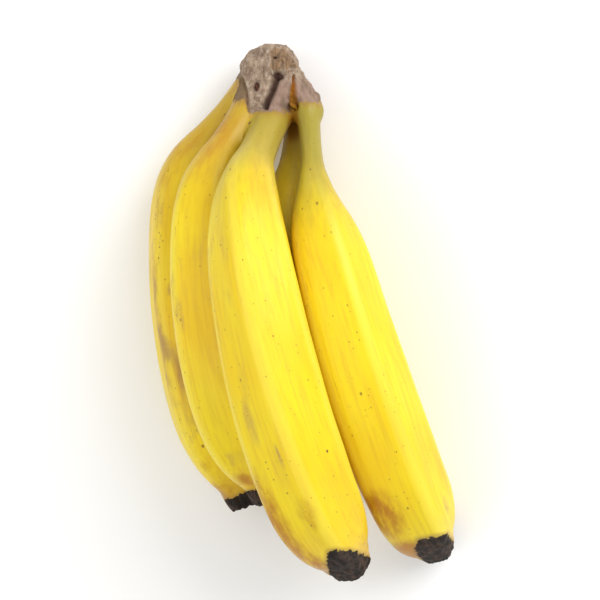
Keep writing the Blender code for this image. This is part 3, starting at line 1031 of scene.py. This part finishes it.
def fruit_colour(bench, colours):
    """Yellow peel: patches, lengthwise streaks, green neck, dull tip, bruises and freckles."""
    flow, along, ridge = bench.trait("flow", "Vector"), bench.trait("along"), bench.trait("ridge")
    green_share, bruise_share, freckle_share = bench.parts_of(bench.trait("temper", "Vector"))
    colour = bench.blend(bench.pattern(flow, PATCHES), colours.ripe, colours.deep)
    colour = bench.blend(bench.pattern(flow, STREAKS), colour, colours.ochre)
    # Paler along the ridges: a painted highlight.
    pale_ridge = bench.all_of(bench.step(ridge, *PALE_RIDGE), bench.step(along, *PALE_FROM))
    colour = bench.blend(pale_ridge, colour, colours.pale)
    green = bench.step(bench.ragged(along, flow, NECK_RAGGED), *GREEN_NECK)
    neck = bench.blend(green_share, colours.neck_warm, colours.neck)
    colour = bench.blend(green, colour, neck)
    tip = bench.step(bench.ragged(along, flow, TIP_RAGGED), *DULL_TIP)
    colour = bench.blend(tip, colour, colours.ochre)
    # Bruises and scuffs are stronger on peel that faces the hand's left.
    worn = bench.number('MULTIPLY_ADD', bench.trait("worn"), 1 - LEFT_FACING_LEAST, LEFT_FACING_LEAST)
    bruise = bench.all_of(bench.pattern(flow, BRUISES), bruise_share, worn)
    colour = bench.blend(bruise, colour, colours.bruise)
    scuff = bench.all_of(bench.pattern(flow, SCUFFS), bench.step(ridge, *RUBBED_RIDGE),
                         bench.number('ADD', bruise_share, RUBBED_LEAST, clamp=True), worn)
    colour = bench.blend(scuff, colour, colours.scuff)
    # Amber marks, partly painted shade, and brown bruise marks.
    ragged = bench.ragged(MARK_LEVEL, flow, MARK_RAGGED)
    for name, tint in (("amber", colours.amber), ("brown", colours.bruise)):
        mark = bench.step(bench.number('MULTIPLY', bench.trait(name), ragged), *MARK_SHARE)
        colour = bench.blend(mark, colour, tint)
    small = bench.all_of(bench.specks(flow, *SMALL_FRECKLES), bench.pattern(flow, FRECKLE_CROWDS))
    freckles = bench.number('MAXIMUM', small, bench.specks(flow, *LARGE_FRECKLES))
    share = bench.all_of(freckles, freckle_share, FRECKLE_STRENGTH)
    return bench.blend(share, colour, colours.freckle)


def cork_colour(bench, colours):
    """The crown: grey-brown cork, mauve upper necks, the paler fibrous cut and the painted shade in its
    pits and folds.
    """
    hand = bench.trait("hand", "Vector")
    across, up, _ = bench.parts_of(hand)
    colour = bench.blend(bench.pattern(hand, MOTTLE), colours.cork_dark, colours.cork)
    colour = bench.blend(bench.pattern(hand, CRUST), colour, colours.cork_pale)
    colour = bench.blend(bench.pattern(hand, CRUST_GAPS), colour, colours.crack_and_shade)
    side = bench.ragged(bench.number('MULTIPLY_ADD', up, MAUVE_SLOPE, across), hand, MAUVE_RAGGED)
    share = bench.all_of(bench.step(side, *MAUVE_SIDE), bench.step(up, *MAUVE_TOP))
    mauve = bench.blend(bench.pattern(hand, MAUVE_GRAIN), colours.mauve, colours.cork_dark)
    colour = bench.blend(share, colour, mauve)
    fibrous = bench.blend(bench.pattern(hand, CUT_FIBRES), colours.cut_dark, colours.cut)
    share = bench.number('MULTIPLY', bench.trait("cut"), CUT_STRENGTH)
    colour = bench.blend(share, colour, fibrous)
    side = bench.number('MULTIPLY_ADD', up, SMOOTH_SLOPE, across)
    share = bench.all_of(bench.step(side, *SMOOTH_SIDE), bench.step(up, *SMOOTH_TOP))
    colour = bench.blend(share, colour, colours.cork_smooth)
    # Painted shade for the pits and folds: near black, reddish brown on the left, and brown in the gap
    # between the two front necks, darker low down.
    red = bench.all_of(bench.pattern(hand, PIT_RED), bench.step(across, *RED_SIDE))
    dark = bench.blend(red, colours.crack_and_shade, colours.pit_red)
    shaded = bench.blend(bench.step(up, *SHADED_RISE), colours.shaded_low, colours.shaded)
    dark = bench.blend(bench.step(across, *SHADED_SIDE), dark, shaded)
    return bench.blend(bench.step(bench.trait("dark"), *DARK_SHARE), colour, dark)


def skin_relief(bench, flow, hand, dry):
    """Fine bump: lengthwise lines and pores on the peel, crust on the cork and the stubs."""
    lines, pores, crust = (
        bench.number('MULTIPLY', bench.noise(vector, *kind[:3]), kind.height)
        for vector, kind in ((flow, PEEL_LINES), (flow, PEEL_PORES), (hand, DRY_CRUST)))
    peel = bench.all_of(bench.number('ADD', lines, pores), bench.number('SUBTRACT', 1.0, dry))
    bump = bench.node("ShaderNodeBump")
    for name, value in (("Strength", BUMP_STRENGTH), ("Distance", MM),
                        ("Height", bench.number('MULTIPLY_ADD', crust, dry, peel))):
        bench.put(bump.inputs[name], value)
    return bump.outputs[0]


def skin_finish(colours):
    """One material for the whole skin."""
    material = bpy.data.materials.new("banana_skin_ripe")
    material.use_nodes = True
    bench = SkinBench(material.node_tree)
    shader = material.node_tree.nodes["Principled BSDF"]
    flow, hand = bench.trait("flow", "Vector"), bench.trait("hand", "Vector")
    past_cork = bench.ragged(bench.trait("past_cork"), hand, CORK_RAGGED)
    cork = bench.step(past_cork, *CORK_SKIN)
    stub = bench.step(bench.ragged(bench.trait("stub"), hand, STUB_RAGGED), *STUB_SKIN)
    peel = fruit_colour(bench, colours)
    for rim in (bench.step(past_cork, *CORK_RIM), bench.step(bench.trait("stub"), *STUB_RIM_TINT)):
        peel = bench.blend(rim, peel, colours.rim)
    # Painted shade where the crown's pits and folds reach the peel.
    peel = bench.blend(bench.step(bench.trait("dark"), *DARK_PEEL), peel, colours.shaded_low)
    colour = bench.blend(cork, peel, cork_colour(bench, colours))
    black = bench.blend(bench.pattern(flow, STUB_WEAR), colours.stub, colours.stub_worn)
    bench.put(shader.inputs["Base Color"], bench.blend(stub, colour, black))
    dry = bench.number('MAXIMUM', cork, stub)
    satin = bench.number('MULTIPLY', bench.pattern(flow, SATIN), bench.number('SUBTRACT', 1.0, dry))
    bench.put(shader.inputs["Roughness"], bench.number('MULTIPLY_ADD', dry, DRY_ROUGHNESS, satin))
    bench.put(shader.inputs["Normal"], skin_relief(bench, flow, hand, dry))
    for name, value in (("Specular IOR Level", 0.32), ("Subsurface Weight", 0.06),
                        ("Subsurface Radius", (1.0, 0.6, 0.15)), ("Subsurface Scale", 0.002)):
        shader.inputs[name].default_value = value
    return material


# What a user may change


def colour_choice(name, description, value):
    """A colour that a user may change."""
    return FloatVectorProperty(name=name, description=description, default=value,
                               subtype='COLOR', size=3, min=0.0, max=1.0)


def size_choice(name, description, value, most, least=0):
    """A size in millimetres that a user may change."""
    return FloatProperty(name=name, description=description + " in millimetres", default=value,
                         min=least, max=most)


class BananaColours(bpy.types.PropertyGroup):
    """Colours of the peel, the crown and the stubs."""
    ripe: colour_choice("Ripe", "Main yellow of the peel", (0.86, 0.67, 0.010))
    deep: colour_choice("Deep", "Deeper yellow of the ripest patches", (0.84, 0.57, 0.005))
    # Painted highlight along the ridges.
    pale: colour_choice("Pale", "Paler yellow along the ridges", (0.90, 0.76, 0.10))
    ochre: colour_choice("Ochre", "Dull ochre of the streaks and the tips", (0.60, 0.33, 0.02))
    neck: colour_choice("Neck", "Greenish yellow of the necks", (0.28, 0.235, 0.033))
    neck_warm: colour_choice("Warm Neck", "Ochre of the necks on the left", (0.52, 0.31, 0.02))
    bruise: colour_choice("Bruise", "Brown of soft bruises", (0.36, 0.19, 0.08))
    scuff: colour_choice("Scuff", "Brown of rubbed ridges", (0.27, 0.13, 0.04))
    freckle: colour_choice("Freckle", "Brown of the freckles", (0.16, 0.06, 0.02))
    # Amber of the peel's patches, also the colour of the painted shade in some of the amber marks.
    amber: colour_choice("Amber", "Amber marks by the stubs", (0.46, 0.19, 0.006))
    rim: colour_choice("Rim", "Orange-brown edge of the peel", (0.33, 0.17, 0.03))
    cork: colour_choice("Cork", "Grey-brown of the crown", (0.42, 0.31, 0.22))
    cork_dark: colour_choice("Dark Cork", "Darker brown of the crown", (0.20, 0.135, 0.09))
    cork_pale: colour_choice("Pale Cork", "Worn high spots of the crown", (0.55, 0.47, 0.38))
    cork_smooth: colour_choice("Smooth Cork", "Smooth brown left of the crown", (0.20, 0.125, 0.06))
    mauve: colour_choice("Mauve", "Mauve-brown of the upper necks", (0.34, 0.22, 0.17))
    cut: colour_choice("Cut", "Orange-brown fibres of the cut face", (0.33, 0.19, 0.09))
    cut_dark: colour_choice("Dark Cut", "Dark gaps between the fibres", (0.11, 0.065, 0.035))
    # Near black of the crown's cracks, also the painted shade in its pits and folds; the reddish brown
    # is mixed into that painted shade on the left.
    crack_and_shade: colour_choice("Pit", "Pits and cracks of the crown", (0.05, 0.022, 0.013))
    pit_red: colour_choice("Red Pit", "Reddish brown in the pits", (0.17, 0.06, 0.03))
    # Painted shade in the gap between the two front necks: brown high up and darker low down; the low
    # one is also painted on the peel where the painted shade of the pits and folds reaches it.
    shaded: colour_choice("Rust", "Rust-brown between the two front necks, high up", (0.42, 0.155, 0.012))
    shaded_low: colour_choice("Low Rust", "Dark rust-brown between them, low down", (0.26, 0.11, 0.005))
    stub: colour_choice("Stub", "Dry black of the stubs", (0.014, 0.009, 0.006))
    stub_worn: colour_choice("Worn Stub", "Grey-brown wear on the stubs", (0.085, 0.05, 0.033))


class BananaForm(bpy.types.PropertyGroup):
    """How finely the skin is meshed and how uneven it is."""
    mesh_step: size_choice("Mesh Step", "Size of the bodies' faces", 1.8, 5, 1.2)
    dents: size_choice("Dents", "Depth of the soft dents", 0.35, 1)
    neck_ribs: size_choice("Neck Ribs", "Height of the ribs on the necks", 0.12, 0.5)
    cork_lumps: size_choice("Cork Lumps", "Height of the crown's lumps", 0.5, 1.5)
    stub_wrinkles: size_choice("Stub Wrinkles", "Height of the stubs' wrinkles", 0.35, 1)


class BananaStage(bpy.types.PropertyGroup):
    """Floor and studio light."""
    floor: colour_choice("Floor", "Colour of the floor", (0.97, 0.97, 0.97))
    floor_size: FloatProperty(name="Floor Size", description="Width of the floor", default=8.0,
                              unit='LENGTH')
    key_power: FloatProperty(name="Key Light", description="Power of the main light", default=9.2,
                             min=0, unit='POWER')
    fill_power: FloatProperty(name="Fill Light", description="Power of the fill light", default=4.5,
                              min=0, unit='POWER')
    sky: FloatProperty(name="Sky", description="Strength of the even light from all round",
                       default=0.72, min=0)


# The tools


class BANANA_OT_grow_hand(bpy.types.Operator):
    """Grow the hand of bananas in the place of its plain solid"""
    bl_idname = "banana.grow_hand"
    bl_label = "Grow Hand"

    def execute(self, context):
        mesh = grow_mesh(context.scene.banana_form)
        mesh.materials.clear()
        mesh.materials.append(skin_finish(context.scene.banana_colours))
        hand = bpy.data.objects.new("ripe_bananas", mesh)
        context.scene.collection.objects.link(hand)
        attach(hand, "root")
        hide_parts("banana_hand")
        return {'FINISHED'}


class BANANA_OT_set_stage(bpy.types.Operator):
    """Lay the floor, hang the lights and place the camera"""
    bl_idname = "banana.set_stage"
    bl_label = "Set Stage"

    def execute(self, context):
        scene, stage = context.scene, context.scene.banana_stage
        bpy.ops.mesh.primitive_grid_add(x_subdivisions=FLOOR_SQUARES, y_subdivisions=FLOOR_SQUARES,
                                        size=stage.floor_size, location=(0, 0, -FLOOR_DROP))
        floor = context.object
        floor.name = "pale_floor"
        paper = bpy.data.materials.new("pale_paper")
        paper.use_nodes = True
        shader = paper.node_tree.nodes["Principled BSDF"]
        shader.inputs["Base Color"].default_value = (*stage.floor, 1)
        shader.inputs["Roughness"].default_value = 0.9
        shader.inputs["Specular IOR Level"].default_value = 0.1
        floor.data.materials.append(paper)

        view = lay_down() @ Matrix.Translation(Vector(CAMERA_SPOT))
        position, turn, _ = view.decompose()
        lens = bpy.data.cameras.new("camera")
        lens.lens = CAMERA_LENS
        lens.sensor_width = CAMERA_SENSOR
        lens.clip_end = CAMERA_REACH
        camera = bpy.data.objects.new("camera", lens)
        camera.matrix_world = Matrix.Translation(position) @ turn.to_matrix().to_4x4()
        scene.collection.objects.link(camera)
        scene.camera = camera

        for name, (way, distance, width), power in (("key", KEY_LAMP, stage.key_power),
                                                    ("fill", FILL_LAMP, stage.fill_power)):
            lamp = bpy.data.lights.new(name, 'AREA')
            lamp.size = width
            lamp.energy = power
            light = bpy.data.objects.new(name, lamp)
            side = (turn.to_matrix() @ Vector(way)).normalized()
            light.location = Vector(LIT_SPOT) + side * distance
            light.rotation_euler = side.to_track_quat('Z', 'Y').to_euler()
            scene.collection.objects.link(light)

        world = bpy.data.worlds.new("even_sky")
        world.use_nodes = True
        sky = world.node_tree.nodes["Background"]
        sky.inputs["Color"].default_value = (1, 1, 1, 1)
        sky.inputs["Strength"].default_value = stage.sky
        scene.world = world
        scene.view_settings.view_transform = 'Standard'
        return {'FINISHED'}


class BANANA_PT_tools(bpy.types.Panel):
    """The bananas' tools and settings"""
    bl_idname = "BANANA_PT_tools"
    bl_label = "Ripe Bananas"
    bl_space_type = 'VIEW_3D'
    bl_region_type = 'UI'
    bl_category = "Bananas"

    def draw(self, context):
        layout = self.layout
        for group in (context.scene.banana_form, context.scene.banana_colours):
            for name in group.__annotations__:
                layout.prop(group, name)
        layout.operator(BANANA_OT_grow_hand.bl_idname)
        for name in context.scene.banana_stage.__annotations__:
            layout.prop(context.scene.banana_stage, name)
        layout.operator(BANANA_OT_set_stage.bl_idname)


CLASSES = (BananaColours, BananaForm, BananaStage, BANANA_OT_grow_hand, BANANA_OT_set_stage,
           BANANA_PT_tools)


def register():
    """Make the tools and their settings known to Blender."""
    for cls in CLASSES:
        bpy.utils.register_class(cls)
    bpy.types.Scene.banana_colours = PointerProperty(type=BananaColours)
    bpy.types.Scene.banana_form = PointerProperty(type=BananaForm)
    bpy.types.Scene.banana_stage = PointerProperty(type=BananaStage)


def unregister():
    """Take the tools and their settings away again."""
    del bpy.types.Scene.banana_stage
    del bpy.types.Scene.banana_form
    del bpy.types.Scene.banana_colours
    for cls in reversed(CLASSES):
        bpy.utils.unregister_class(cls)


def main():
    """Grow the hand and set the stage."""
    register()
    bpy.ops.banana.grow_hand()
    bpy.ops.banana.set_stage()


if __name__ == "__main__":
    main()
